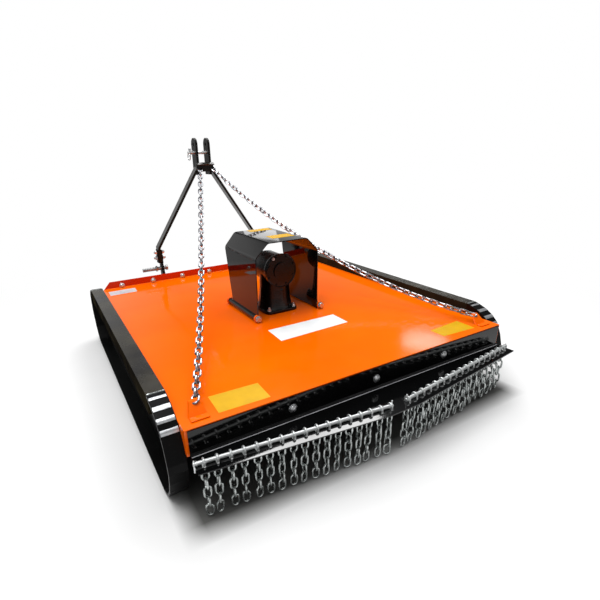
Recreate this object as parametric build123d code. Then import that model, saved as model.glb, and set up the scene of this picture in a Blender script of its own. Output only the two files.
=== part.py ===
"""Three-point rotary cutter (topper mower), parked on its side skids.

Millimetres. X is across the machine, +Y is forward (the tractor's side), +Z is up.
The floor is z = 0. The drawing frame has y = 0 at the deck's rear edge; every piece is
moved by ORIGIN_Y on export, so that the origin is the middle of the footprint.
"""
from build123d import *
import math
import os

# deck
DECK_W = 1400.0          # over the deck's side edges
DECK_L = 1530.0          # rear edge to the front lip's outer face
DECK_TOP = 290.0         # top of the deck plate above the floor
SHEET = 4.0              # deck, flanges and guard plate
FLANGE_DROP = 90.0       # deck's top to the lower edge of its downturned edges
LIP_RISE = 42.0          # front lip above the deck
LIP_INSET, LIP_CUT = 10.0, 38.0              # lip's end from the deck's side, cut corner
CHANNEL_H, CHANNEL_W, CHANNEL_T = 40.0, 70.0, 5.0
CHANNEL_INSET = 330.0    # cross channels' middles from the deck's ends

# side skids
SIDE_T = 8.0             # plate between the deck's edge and the skid
SKID_W = 58.0            # width of tube and shoe
SKID_PLATE_T = 4.0
SKID_REAR_IN = 5.0       # skid's rearmost line ahead of the deck's rear edge
SKID_FRONT_OUT = 45.0    # skid's foremost line ahead of the deck's front
TUBE_RISE, TUBE_SUNK = 46.0, 24.0            # tube's top above the deck, its foot below
TUBE_INSET = 165.0       # tube's ends from the skid's ends
SHOE_T = 8.0             # flat bar bent round the skid's ends in short flats
# columns: distance in from the skid's end, distance down from the deck's top
SHOE_UPPER = [(165.0, -46.0), (143.0, -41.0), (103.0, -28.0), (67.0, -7.0), (40.0, 18.0),
              (17.0, 66.0), (3.0, 112.0), (0.0, 140.0)]
# columns: distance in from the skid's end, distance up from the floor
SHOE_LOWER = [(8.0, 112.0), (24.0, 70.0), (52.0, 32.0), (85.0, 9.0), (115.0, 0.0)]

# rear guard
SHELF_END_OUT, SHELF_APEX_OUT = 85.0, 158.0  # shelf's outer edge behind the deck
SHELF_OVER, APEX_HALF = 5.0, 62.0            # shelf past the deck's side, half the flat apex
ROD_R = 6.5
ROD_IN_X, ROD_END_OVER = 32.0, 6.0           # rod's inner end, its outer end past the deck
ROD_EDGE = 38.0          # rod's line in from the shelf's outer edge
CHAIN_STEP = 39.8        # between hanging chains
CHAINS_A_SIDE = 17
CHAIN_FIRST_X = 40.0
WIRE, PITCH, LINK_W = 7.0, 33.5, 28.0        # chain: wire, pitch, outer width
GUARD_LINKS = 6
SLOT_GAP = 3.0           # slot in the shelf round a link, each side

# front flap, hung either side of the hitch brackets
FLAP_T, FLAP_FLOOR, FLAP_OVER = 8.0, 60.0, 20.0   # its foot above the floor, top above deck
FLAP_BAR_T, FLAP_BAR_H = 6.0, 30.0
FLAP_CLEAR = 22.0        # flap's end from a hitch bracket

# gearbox and shield
HUB_SHIFT = 35.0         # rotor's axis behind the deck's middle
INPUT_RISE = 203.0       # input shaft's axis above the deck
BASE_W, BASE_T, BASE_R = 168.0, 16.0, 30.0
SKIRT_R, NECK_R, SKIRT_H = 80.0, 71.0, 52.0
BARREL_R, BARREL_BACK, BARREL_AHEAD = 74.0, 58.0, 75.0   # from the rotor's axis
COVER_R, COVER_T, COVER_BOSS_R, COVER_BOSS_T = 80.0, 14.0, 40.0, 6.0
RIB_T = 9.0
CAP_R, CAP_T, SEAL_R, SEAL_T = 68.0, 14.0, 40.0, 16.0
JOURNAL_R = 22.0
STUB_R, STUB_L = 17.45, 88.0                 # 1 3/8 inch drive stub
RUN_FIT = 0.05
SHIELD_T = 5.0
SHIELD_HALF, SHIELD_RISE, SHIELD_CUT = 164.0, 356.0, 62.0
SHIELD_BACK, SHIELD_AHEAD = 133.0, 210.0     # from the rotor's axis
SHIELD_RAKE = 75.0       # its front edge's foot behind its top
FOOT_R, FOOT_INSET = 14.0, 28.0              # tube along the shield's foot
FOOT_LUG_T, FOOT_LUG_R, FOOT_UP = 12.0, 17.0, 24.0
FOOT_BOLT, FOOT_HEAD_R, FOOT_HEAD_T = 20.0, 13.0, 7.0

# rotor
SPINDLE_R, SPINDLE_DROP = 60.0, 138.0        # its lower end below the deck's top
SPINDLE_FLANGE_R, SPINDLE_FLANGE_T = 105.0, 14.0
SHAFT_R = 22.0
HUB_R, HUB_GAP, HUB_T = 72.0, 2.0, 24.0
CARRIER_W, CARRIER_T = 110.0, 16.0
PIVOT_R = 425.0          # blade bolt from the rotor's axis
BOLT_R, BOLT_HEAD_R, BOLT_HEAD_T, BOLT_NUT_R, BOLT_NUT_T = 14.0, 24.0, 12.0, 22.0, 16.0
CENTRE_NUT_R, CENTRE_NUT_T = 34.0, 20.0
BLADE_W, BLADE_T, BLADE_REACH, BLADE_CUT = 84.0, 10.0, 232.0, 28.0
FACE_GAP = 0.3           # between touching faces of pieces that move on each other

# headstock
LEG_X, LEG_BAR = 332.0, 27.0                 # leg's upright foot, square bar
LEG_STAND = 24.0         # legs' rear face ahead of the lip
LEG_FOOT_UP, LEG_BEND_UP, LEG_TOP_UP = 26.0, 196.0, 646.0   # above the deck
BRACKET_BASE_T, CHEEK_T, CHEEK_NOSE = 10.0, 12.0, 8.0
PIN_R, PIN_RISE = 11.0, 70.0                 # category 1 lower hitch pin, above the deck
PIN_FREE, COLLAR_R, COLLAR_T, NUT_R, NUT_T = 80.0, 18.0, 9.0, 17.0, 12.0
MAST = 656.0             # lower pins to the top link pin
EAR_HALF_GAP, EAR_T, EAR_W = 31.0, 14.0, 74.0
EAR_FOOT = 124.0         # below the top link pin
TOP_PIN_R, TOP_PIN_OVER, TOP_HEAD_R, TOP_HEAD_T = 9.5, 38.0, 15.0, 8.0
TOP_HOLE_R, TOP_HOLE_RISE, EAR_EDGE = 9.75, 46.0, 35.0
CROSS_HALF, CROSS_T, CROSS_H, CROSS_FOOT_UP = 54.0, 10.0, 46.0, 620.0
CHAIN_HEAD_X = 36.0      # lift chains' upper ends
CHAIN_SAG = 96.0         # lift chains' middle below the straight line
CHAIN_RUNS = 4           # straight runs that stand for the curve
LUG_IN, LUG_AHEAD = 52.0, 45.0               # lugs from the deck's side and rear edges
LUG_L, LUG_T, LUG_H, LUG_TOP_L, LUG_EYE = 60.0, 10.0, 36.0, 30.0, 27.0   # leaning at 45 degrees

half = DECK_W / 2
under = DECK_TOP - SHEET                     # deck plate's lower face
skirt = DECK_TOP - FLANGE_DROP               # flanges' lower edge, shelf's upper face
hub_y = DECK_L / 2 - HUB_SHIFT                # rotor's axis
input_z = DECK_TOP + INPUT_RISE
leg_y = DECK_L + LEG_STAND
pin_y, pin_z = leg_y + LEG_BAR / 2, DECK_TOP + PIN_RISE
ear_y, top_pin_z = leg_y + EAR_W / 2, pin_z + MAST
hole_z = top_pin_z + TOP_HOLE_RISE
ORIGIN_Y = -(ear_y + EAR_W / 2 - SHELF_APEX_OUT) / 2   # middle of the footprint
CUT = 1.0                # how far a cutter runs past the face that it opens


def block(x0, x1, y0, y1, z0, z1):
    """Box between two corners."""
    return Pos((x0 + x1) / 2, (y0 + y1) / 2, (z0 + z1) / 2) * Box(
        abs(x1 - x0), abs(y1 - y0), abs(z1 - z0))


def sheet_yz(points, x0, x1):
    """Plate between x0 and x1 with its outline in Y and Z."""
    face = make_face(Polyline(*[(x0, y, z) for y, z in points], close=True))
    return extrude(face, amount=x1 - x0, dir=(1, 0, 0))


def sheet_xz(points, y0, y1):
    """Plate between y0 and y1 with its outline in X and Z."""
    face = make_face(Polyline(*[(x, y0, z) for x, z in points], close=True))
    return extrude(face, amount=y1 - y0, dir=(0, 1, 0))


def sheet_xy(points, z0, z1):
    """Plate between z0 and z1 with its outline in X and Y."""
    face = make_face(Polyline(*[(x, y, z0) for x, y in points], close=True))
    return extrude(face, amount=z1 - z0, dir=(0, 0, 1))


def rod_x(r, x0, x1, y, z):
    return Pos((x0 + x1) / 2, y, z) * Rot(0, 90, 0) * Cylinder(r, abs(x1 - x0))


def rod_y(r, y0, y1, x, z):
    return Pos(x, (y0 + y1) / 2, z) * Rot(90, 0, 0) * Cylinder(r, abs(y1 - y0))


def rod_z(r, z0, z1, x, y):
    return Pos(x, y, (z0 + z1) / 2) * Cylinder(r, abs(z1 - z0))


def hex_x(r, x0, x1, y, z):
    return Pos(x0, y, z) * Rot(0, 90, 0) * extrude(RegularPolygon(r, 6), x1 - x0)


def hex_y(r, y0, y1, x, z):
    return Pos(x, y1, z) * Rot(90, 0, 0) * extrude(RegularPolygon(r, 6), y1 - y0)


def hex_z(r, z0, z1, x, y):
    return Pos(x, y, z0) * extrude(RegularPolygon(r, 6), z1 - z0)


def mirrored(shape):
    return shape.mirror(Plane.YZ)


def both(shape):
    return [shape, mirrored(shape)]


def offset_line(points, t):
    """Open line moved to its left by t, mitred at its corners."""
    def normal(p, q):
        n = math.hypot(q[0] - p[0], q[1] - p[1])
        return (p[1] - q[1]) / n, (q[0] - p[0]) / n
    runs = [normal(p, q) for p, q in zip(points, points[1:])]
    out = []
    for i, (a, b) in enumerate(points):
        m, n = runs[max(i - 1, 0)], runs[min(i, len(runs) - 1)]
        s = 1 + m[0] * n[0] + m[1] * n[1]
        out.append((a + t * (m[0] + n[0]) / s, b + t * (m[1] + n[1]) / s))
    return out


def chain(links, step=1):
    """Straight chain down from the origin, in blocks by turns edge on and face on to X."""
    blocks = []
    for i in range(links):
        across, deep = (WIRE, LINK_W) if i % 2 == 0 else (LINK_W, WIRE)
        top = 0 if i == 0 else WIRE + PITCH * step * i
        low = WIRE + PITCH * step * (i + 1) + (WIRE if i == links - 1 else 0)
        blocks.append(Pos(0, 0, -(top + low) / 2) * Box(across, deep, low - top))
    return blocks[0].fuse(*blocks[1:])


pieces = {}

# deck with its downturned edges, upturned lip and the channels underneath
pieces["deck_plate"] = block(-half, half, 0, DECK_L - SHEET, under, DECK_TOP)
lip_x = half - LIP_INSET
pieces["front_lip"] = sheet_xz(
    [(-lip_x, skirt), (lip_x, skirt), (lip_x, DECK_TOP),
     (lip_x - LIP_CUT, DECK_TOP + LIP_RISE), (LIP_CUT - lip_x, DECK_TOP + LIP_RISE),
     (-lip_x, DECK_TOP)], DECK_L - SHEET, DECK_L)
pieces["rear_flange"] = block(-half, half, 0, SHEET, skirt, under)
pieces["side_flanges"] = both(block(-half - SIDE_T, -half, 0, DECK_L - SHEET, skirt, DECK_TOP))
channels = []
for y in (CHANNEL_INSET, DECK_L - CHANNEL_INSET):
    outer = block(-half, half, y - CHANNEL_W / 2, y + CHANNEL_W / 2, under - CHANNEL_H, under)
    inner = block(-half - CUT, half + CUT, y - CHANNEL_W / 2 + CHANNEL_T, y + CHANNEL_W / 2 - CHANNEL_T,
                  under - CHANNEL_H + CHANNEL_T, under + CUT)
    channels.append(outer - inner)
pieces["deck_channels"] = channels

# side skids: shoe bent round both ends, recessed plate, square tube on top
skid_y0, skid_y1 = SKID_REAR_IN, DECK_L + SKID_FRONT_OUT
end = [(d, DECK_TOP - h) for d, h in SHOE_UPPER] + SHOE_LOWER
shoe_line = [(skid_y0 + d, z) for d, z in end] + [(skid_y1 - d, z) for d, z in end[::-1]]
shoe_in = offset_line(shoe_line, SHOE_T)
xo, xi = -half - SIDE_T - SKID_W, -half - SIDE_T
tube = block(xo, xi, skid_y0 + TUBE_INSET, skid_y1 - TUBE_INSET, DECK_TOP - TUBE_SUNK,
             DECK_TOP + TUBE_RISE)
shoe = sheet_yz(shoe_line + shoe_in[::-1], xo, xi).cut(tube)
skid_plate = sheet_yz(shoe_in, xi - SKID_PLATE_T, xi).cut(tube)
pieces["skid_shoe_left"], pieces["skid_shoe_right"] = shoe, mirrored(shoe)
pieces["skid_plate_left"], pieces["skid_plate_right"] = skid_plate, mirrored(skid_plate)
pieces["skid_tube_left"], pieces["skid_tube_right"] = tube, mirrored(tube)

# rear guard: bent plate with its V shelf, rods and hanging chains
plate = block(-half, half, -SHEET, 0, skirt, under)
shelf = sheet_xy([(-half, 0), (half, 0), (half + SHELF_OVER, -SHELF_END_OUT),
                  (APEX_HALF, -SHELF_APEX_OUT), (-APEX_HALF, -SHELF_APEX_OUT),
                  (-half - SHELF_OVER, -SHELF_END_OUT)], skirt - SHEET, skirt)
edge_x, edge_y = half + SHELF_OVER - APEX_HALF, SHELF_APEX_OUT - SHELF_END_OUT
edge_turn = math.atan2(edge_y, edge_x)
rod_z_mid = skirt + ROD_R


def on_rod(x):
    """y of the right rod's axis at x."""
    return ROD_EDGE / math.cos(edge_turn) - SHELF_APEX_OUT + (x - APEX_HALF) * edge_y / edge_x


one_chain = chain(GUARD_LINKS)
turn = Rot(0, 0, math.degrees(edge_turn))
slots, hung = [], []
for k in range(CHAINS_A_SIDE):
    x = CHAIN_FIRST_X + CHAIN_STEP * k
    hung.append(Pos(x, on_rod(x), rod_z_mid + ROD_R + WIRE) * turn * one_chain)
    slots.append(Pos(x, on_rod(x), skirt - SHEET / 2) * turn
                 * Box(WIRE + 2 * SLOT_GAP, LINK_W + 2 * SLOT_GAP, SHEET + 2 * CUT))
pieces["rear_guard_plate"] = plate.fuse(shelf).cut(*slots, *[mirrored(s) for s in slots])
x0, x1 = ROD_IN_X, half + ROD_END_OVER
rod = Pos(x0, on_rod(x0), rod_z_mid) * turn * Rot(0, 90, 0) * extrude(
    RegularPolygon(ROD_R, 8, rotation=22.5), (x1 - x0) / math.cos(edge_turn))
curtain = rod.fuse(*hung)
pieces["guard_chains_right"] = curtain
pieces["guard_chains_left"] = mirrored(curtain)

# headstock: hitch brackets, cranked legs, ears and cross plate
cheek_out = LEG_X + LEG_BAR / 2 + CHEEK_T
cheek_in = LEG_X - LEG_BAR / 2 - CHEEK_T
pin_hole = rod_x(PIN_R, -cheek_out - CUT, -cheek_in + CUT, pin_y, pin_z)
bracket = block(-cheek_out, -cheek_in, DECK_L, DECK_L + BRACKET_BASE_T, skirt,
                DECK_TOP + LIP_RISE)
nose = leg_y + LEG_BAR + CHEEK_NOSE
bend_z = DECK_TOP + LEG_BEND_UP
cheek_z = bend_z - LEG_BAR / 4
upper = [(nose, pin_z - PIN_R), (nose, cheek_z - LEG_BAR), (leg_y + LEG_BAR, cheek_z),
         (leg_y, cheek_z)]
inner_line = [(DECK_L, skirt), (DECK_L + BRACKET_BASE_T + LEG_BAR, skirt), *upper,
              (leg_y, pin_z + 2 * PIN_R), (DECK_L, DECK_TOP + LIP_RISE)]
outer_line = [(leg_y, pin_z - 2 * PIN_R), (leg_y + LEG_BAR, pin_z - 2 * PIN_R), *upper]
bracket += sheet_yz(inner_line, -cheek_in - CHEEK_T, -cheek_in)
outer_cheek = sheet_yz(outer_line, -cheek_out, -cheek_out + CHEEK_T)
pieces["hitch_brackets"] = both(bracket - pin_hole) + both(outer_cheek - pin_hole)
leg_line = [(-LEG_X, DECK_TOP + LEG_FOOT_UP), (-LEG_X, bend_z),
            (-EAR_HALF_GAP - EAR_T / 2, DECK_TOP + LEG_TOP_UP)]
leg = sheet_xz(offset_line(leg_line, LEG_BAR / 2) + offset_line(leg_line, -LEG_BAR / 2)[::-1],
               leg_y, leg_y + LEG_BAR)
leg -= pin_hole
leg -= block(-EAR_HALF_GAP - EAR_T, EAR_HALF_GAP, leg_y - CUT, leg_y + LEG_BAR + CUT,
             DECK_TOP, top_pin_z)
pieces["headstock_leg_left"], pieces["headstock_leg_right"] = leg, mirrored(leg)
collar_out = cheek_out + COLLAR_T
lower_pin = rod_x(PIN_R, -collar_out - PIN_FREE, -cheek_in + NUT_T, pin_y, pin_z)
lower_pin += hex_x(COLLAR_R, -collar_out, -cheek_out, pin_y, pin_z)
lower_pin += hex_x(NUT_R, -cheek_in, -cheek_in + NUT_T, pin_y, pin_z)
pieces["lower_hitch_pins"] = both(lower_pin)
ear_end = hole_z + EAR_EDGE - EAR_W / 2
x0, x1 = EAR_HALF_GAP, EAR_HALF_GAP + EAR_T
ear = block(x0, x1, ear_y - EAR_W / 2, ear_y + EAR_W / 2, top_pin_z - EAR_FOOT, ear_end)
ear += rod_x(EAR_W / 2, x0, x1, ear_y, ear_end)
ear -= rod_x(TOP_PIN_R, x0 - CUT, x1 + CUT, ear_y, top_pin_z)
ear -= rod_x(TOP_HOLE_R, x0 - CUT, x1 + CUT, ear_y, hole_z)
pieces["top_link_ears"] = both(ear)
cross_z = DECK_TOP + CROSS_FOOT_UP
cross = block(-CROSS_HALF, CROSS_HALF, leg_y - CROSS_T, leg_y, cross_z, cross_z + CROSS_H)
pieces["chain_cross_plate"] = cross
top_pin = rod_x(TOP_PIN_R, -x1 - TOP_PIN_OVER, x1 + TOP_HEAD_T, ear_y, top_pin_z)
top_pin += hex_x(TOP_HEAD_R, x1, x1 + TOP_HEAD_T, ear_y, top_pin_z)
pieces["top_link_pin"] = top_pin

# lift chains and their lugs
lug_x = half - LUG_IN
lug_foot = [(-lug_x + dx, LUG_AHEAD + up, DECK_TOP + up) for dx, up in (
    (-LUG_L / 2, 0), (LUG_L / 2, 0), (LUG_TOP_L / 2, LUG_H), (-LUG_TOP_L / 2, LUG_H))]
lug = extrude(make_face(Polyline(*lug_foot, close=True)), amount=LUG_T, dir=(0, 1, 0))
pieces["chain_lugs"] = both(lug)
head = Vector(-CHAIN_HEAD_X, leg_y - CROSS_T + WIRE / 4, cross_z + CROSS_H / 2)
tail = Vector(-lug_x, LUG_AHEAD + LUG_EYE, DECK_TOP + LUG_EYE)
knots = []
for k in range(CHAIN_RUNS + 1):
    s = k / CHAIN_RUNS
    knots.append(head + (tail - head) * s - Vector(0, 0, 4 * CHAIN_SAG * s * (1 - s)))
runs = []
for a, b in zip(knots, knots[1:]):
    span = (b - a).length
    blocks = round(span / (2 * PITCH))
    runs.append(Plane(origin=a, z_dir=(a - b).normalized(), x_dir=(0, 1, 0)).location
                * chain(blocks, (span - WIRE) / (PITCH * blocks)))
lift = runs[0].fuse(*runs[1:])
lift = max(lift.cut(lug, cross).solids(), key=lambda s: s.volume)
pieces["lift_chains"] = both(lift)

# front flap in three widths, with its clamp bars
flap_x = lip_x - LIP_CUT
spans = [(-flap_x, -cheek_out - FLAP_CLEAR), (FLAP_CLEAR - cheek_in, cheek_in - FLAP_CLEAR),
         (cheek_out + FLAP_CLEAR, flap_x)]
flap_top = DECK_TOP + FLAP_OVER
pieces["front_flap"] = [block(a, b, DECK_L, DECK_L + FLAP_T, FLAP_FLOOR, flap_top)
                        for a, b in spans]
pieces["flap_clamp_bars"] = [block(a, b, DECK_L + FLAP_T, DECK_L + FLAP_T + FLAP_BAR_T,
                                   flap_top - FLAP_BAR_H, flap_top) for a, b in spans]

# gearbox: flanged foot, flared neck, barrel with its cover and bearing cap
base_top = DECK_TOP + BASE_T
base = extrude(Pos(0, hub_y, DECK_TOP) * RectangleRounded(BASE_W, BASE_W, BASE_R), BASE_T)
flare = Pos(0, hub_y, base_top + SKIRT_H / 2) * Cone(SKIRT_R, NECK_R, SKIRT_H)
neck = rod_z(NECK_R, base_top, input_z, 0, hub_y)
barrel = rod_y(BARREL_R, hub_y - BARREL_BACK, hub_y + BARREL_AHEAD, 0, input_z)
rib_top = base_top + 2 * SKIRT_H
rib = sheet_yz([(hub_y - BASE_W / 2 + CUT, base_top), (hub_y, base_top), (hub_y, rib_top),
                (hub_y - NECK_R - RIB_T / 2, rib_top)], -RIB_T / 2, RIB_T / 2)
cover_y = hub_y - BARREL_BACK
cover = rod_y(COVER_R, cover_y - COVER_T, cover_y, 0, input_z)
pieces["gearbox_housing"] = base.fuse(flare, neck, barrel, rib).cut(cover)
cover += rod_y(COVER_BOSS_R, cover_y - COVER_T - COVER_BOSS_T, cover_y, 0, input_z)
pieces["gearbox_rear_cover"] = cover
cap_y = hub_y + BARREL_AHEAD
seal_y = cap_y + CAP_T + SEAL_T
cap = rod_y(CAP_R, cap_y, cap_y + CAP_T, 0, input_z) + rod_y(SEAL_R, cap_y, seal_y, 0, input_z)
cap -= rod_y(JOURNAL_R + RUN_FIT, cap_y - CUT, seal_y + CUT, 0, input_z)
pieces["gearbox_front_cap"] = cap
shaft = rod_y(JOURNAL_R, cap_y + FACE_GAP, seal_y + RIB_T / 3, 0, input_z)
shaft += rod_y(STUB_R, seal_y + RIB_T / 3, seal_y + RIB_T / 3 + STUB_L, 0, input_z)
pieces["input_shaft"] = shaft

# folded shield over the drive, open at both ends, with the tubes that hold it down
top_z = DECK_TOP + SHIELD_RISE
foot_y0, foot_y1 = hub_y - SHIELD_BACK + FOOT_INSET, hub_y + SHIELD_AHEAD - FOOT_INSET
foot_x = -SHIELD_HALF + SHIELD_T / 2
foot_z = DECK_TOP + FOOT_UP
foot = rod_y(FOOT_R, foot_y0, foot_y1, foot_x, foot_z)
for y in (foot_y0, foot_y1 - FOOT_LUG_T):
    foot += rod_y(FOOT_LUG_R, y, y + FOOT_LUG_T, foot_x, foot_z)
    foot += block(foot_x - FOOT_LUG_R, foot_x + FOOT_LUG_R, y, y + FOOT_LUG_T, DECK_TOP, foot_z)
foot += hex_y(FOOT_R / 2, foot_y0 - FOOT_BOLT, foot_y0, foot_x, foot_z)
foot += hex_y(FOOT_HEAD_R, foot_y0 - FOOT_BOLT, foot_y0 - FOOT_BOLT + FOOT_HEAD_T, foot_x, foot_z)
pieces["shield_feet"] = both(foot)
panel_z = foot_z + FOOT_R - SHIELD_T / 2
fold = [(-SHIELD_HALF, panel_z), (-SHIELD_HALF, top_z - SHIELD_CUT),
        (-SHIELD_HALF + SHIELD_CUT, top_z), (SHIELD_HALF - SHIELD_CUT, top_z),
        (SHIELD_HALF, top_z - SHIELD_CUT), (SHIELD_HALF, panel_z)]
shield_y1 = hub_y + SHIELD_AHEAD
rake = sheet_yz([(shield_y1 - SHIELD_RAKE, DECK_TOP), (shield_y1, top_z + CUT),
                 (shield_y1 + CUT, DECK_TOP)], -2 * SHIELD_HALF, 2 * SHIELD_HALF)
shield = sheet_xz(fold + offset_line(fold, -SHIELD_T)[::-1], hub_y - SHIELD_BACK, shield_y1)
pieces["drive_shield"] = shield.cut(rake, *both(foot))

# rotor: spindle housing on the deck, hub and shaft, carrier bar, swinging blades
spindle_low = DECK_TOP - SPINDLE_DROP
spindle = rod_z(SPINDLE_R, spindle_low, under, 0, hub_y)
spindle += rod_z(SPINDLE_FLANGE_R, under - SPINDLE_FLANGE_T, under, 0, hub_y)
spindle -= rod_z(SHAFT_R + RUN_FIT, spindle_low - CUT, under + CUT, 0, hub_y)
pieces["spindle_housing"] = spindle
hub_top = spindle_low - HUB_GAP
carrier_top = hub_top - HUB_T
carrier_low = carrier_top - CARRIER_T
pieces["rotor_hub"] = (rod_z(HUB_R, carrier_top, hub_top, 0, hub_y)
                       + rod_z(SHAFT_R, carrier_top, under - FACE_GAP, 0, hub_y))
carrier = block(-CARRIER_W / 2, CARRIER_W / 2, hub_y - PIVOT_R, hub_y + PIVOT_R,
                carrier_low, carrier_top)
blade_top = carrier_low - FACE_GAP
blade_low = blade_top - BLADE_T
head_top = blade_low - FACE_GAP
bw = BLADE_W / 2
bolts = []
for name, s in (("front", 1), ("rear", -1)):
    py = hub_y + s * PIVOT_R
    carrier += rod_z(CARRIER_W / 2, carrier_low, carrier_top, 0, py)
    carrier -= rod_z(BOLT_R, carrier_low - CUT, carrier_top + CUT, 0, py)
    tip = py + s * BLADE_REACH
    lead = s * bw            # the cut corner leads as the rotor turns
    blade = sheet_xy([(-lead, py), (lead, py), (lead, tip - s * BLADE_CUT),
                      (lead - s * BLADE_CUT, tip), (-lead, tip)], blade_low, blade_top)
    blade += rod_z(bw, blade_low, blade_top, 0, py)
    blade -= rod_z(BOLT_R + RUN_FIT, blade_low - CUT, blade_top + CUT, 0, py)
    pieces["blade_" + name] = blade
    bolts.append(rod_z(BOLT_R, head_top, carrier_top, 0, py)
                 + hex_z(BOLT_HEAD_R, head_top - BOLT_HEAD_T, head_top, 0, py)
                 + hex_z(BOLT_NUT_R, carrier_top, carrier_top + BOLT_NUT_T, 0, py))
pieces["blade_carrier"] = carrier
bolts.append(hex_z(CENTRE_NUT_R, carrier_low - CENTRE_NUT_T, carrier_low, 0, hub_y))
pieces["rotor_fasteners"] = bolts

os.makedirs("parts", exist_ok=True)
for name, shape in pieces.items():
    moved = []
    for solid in shape if isinstance(shape, list) else [shape]:
        moved += (Pos(0, ORIGIN_Y, 0) * solid).solids()
    export_step(moved[0] if len(moved) == 1 else Compound(moved), "parts/" + name + ".step")
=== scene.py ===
import bpy
import bmesh
import math
import random
from mathutils import Matrix, Vector


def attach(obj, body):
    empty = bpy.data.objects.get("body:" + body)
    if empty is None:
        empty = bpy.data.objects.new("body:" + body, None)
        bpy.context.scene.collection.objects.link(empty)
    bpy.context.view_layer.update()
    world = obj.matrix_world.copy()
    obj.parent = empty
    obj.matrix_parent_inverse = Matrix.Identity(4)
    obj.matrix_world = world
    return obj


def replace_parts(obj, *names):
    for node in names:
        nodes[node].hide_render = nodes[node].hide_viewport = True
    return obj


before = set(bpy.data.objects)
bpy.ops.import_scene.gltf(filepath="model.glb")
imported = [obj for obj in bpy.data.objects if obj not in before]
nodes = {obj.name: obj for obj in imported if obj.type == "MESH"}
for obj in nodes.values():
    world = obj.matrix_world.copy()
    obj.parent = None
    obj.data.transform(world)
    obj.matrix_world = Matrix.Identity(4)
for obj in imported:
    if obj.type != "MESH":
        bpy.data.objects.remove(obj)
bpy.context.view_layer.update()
rng = random.Random(7)

# Lengths are in metres. In the drawing frame y = 0 is the deck's rear edge and z = 0 its top
# face, and s is the side: -1 left, 1 right.
OY = -0.735                     # the deck's rear edge in the shared frame
DECK = 0.290                    # the deck's top in the shared frame


def at(x, y, z):
    """A place in the drawing frame, as a vector in the shared frame."""
    return Vector((x, y + OY, DECK + z))


# Shader helpers. A value is an output to link or a plain number or colour.
def feed(tree, node, inputs):
    """Links or sets each input of the node."""
    for socket, value in inputs.items():
        if isinstance(value, bpy.types.NodeSocket):
            tree.links.new(value, node.inputs[socket])
        else:
            node.inputs[socket].default_value = value


def add(tree, kind, inputs=None, **settings):
    """Adds a node; the settings come first, because they decide which inputs it has."""
    node = tree.nodes.new(kind)
    for key, value in settings.items():
        setattr(node, key, value)
    feed(tree, node, inputs or {})
    return node


def new_mat(name):
    mat = bpy.data.materials.new(name)
    mat.use_nodes = True
    return mat, mat.node_tree, mat.node_tree.nodes["Principled BSDF"]


def grey(level):
    return (level, level, level)


def coords(tree):
    return add(tree, "ShaderNodeTexCoord").outputs["Object"]


def noise(tree, place, scale, detail=3.0):
    return add(tree, "ShaderNodeTexNoise", {
        "Vector": place, "Scale": scale, "Detail": detail, "Roughness": 0.55}).outputs["Fac"]


def ramp(tree, value, stops):
    """Colour ramp over (position, colour) stops."""
    node = add(tree, "ShaderNodeValToRGB", {"Fac": value})
    elements = node.color_ramp.elements
    while len(elements) < len(stops):
        elements.new(0.5)
    for element, (position, colour) in zip(elements, stops):
        element.position = position
        element.color = (*colour, 1)
    return node.outputs["Color"]


def span(tree, value, source, target):
    """Maps the range source to the range target and keeps to its ends."""
    return add(tree, "ShaderNodeMapRange", {
        "Value": value, "From Min": source[0], "From Max": source[1],
        "To Min": target[0], "To Max": target[1]}).outputs["Result"]


def mixed(tree, kind, factor, a, b):
    """Mix of a and b, of the kind FLOAT or RGBA."""
    node = add(tree, "ShaderNodeMix", {"Factor": factor, "A": a, "B": b}, data_type=kind)
    return node.outputs["Result"]


def calc(tree, operation, *values):
    node = add(tree, "ShaderNodeMath", dict(enumerate(values)), operation=operation)
    return node.outputs[0]


def part_of(tree, vector, axis):
    """The X, Y or Z of a vector."""
    return add(tree, "ShaderNodeSeparateXYZ", {0: vector}).outputs[axis]


def surface(tree, output):
    """The Normal or the Position of the point that is shaded."""
    return add(tree, "ShaderNodeNewGeometry").outputs[output]


def bump(tree, bsdf, layers, strength):
    """Bumps on top of each other, from (height, distance) layers."""
    inputs = {"Strength": strength}
    for height, distance in layers:
        inputs.update({"Height": height, "Distance": distance})
        inputs["Normal"] = add(tree, "ShaderNodeBump", inputs).outputs["Normal"]
    feed(tree, bsdf, {"Normal": inputs["Normal"]})


def paint(name, dark, light, rough, peel=0.00012, patch=2.2, dust=None, level=0.5,
          wave=0.0008):
    """Sprayed enamel: broad tone patches, orange peel and settled specks.

    patch is the scale of the tone patches, dust the specks' colour and share, peel and wave
    the depths of the fine and the broad bumps, level the specular level.
    """
    mat, tree, bsdf = new_mat(name)
    place = coords(tree)
    tone = ramp(tree, noise(tree, place, patch, 4.0), [(0.32, dark), (0.68, light)])
    if dust:
        colour, share = dust
        specks = span(tree, noise(tree, place, 420.0, 1.0), (0.70, 0.78), (0.0, share))
        tone = mixed(tree, "RGBA", specks, tone, (*colour, 1))
    sheen = span(tree, noise(tree, place, 9.0, 4.0), (0.3, 0.7), rough)
    feed(tree, bsdf, {"Base Color": tone, "Roughness": sheen, "Specular IOR Level": level})
    bump(tree, bsdf, [(noise(tree, place, 260.0, 2.0), peel),
                      (noise(tree, place, 5.0, 1.0), wave)], 0.6)
    return mat


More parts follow.
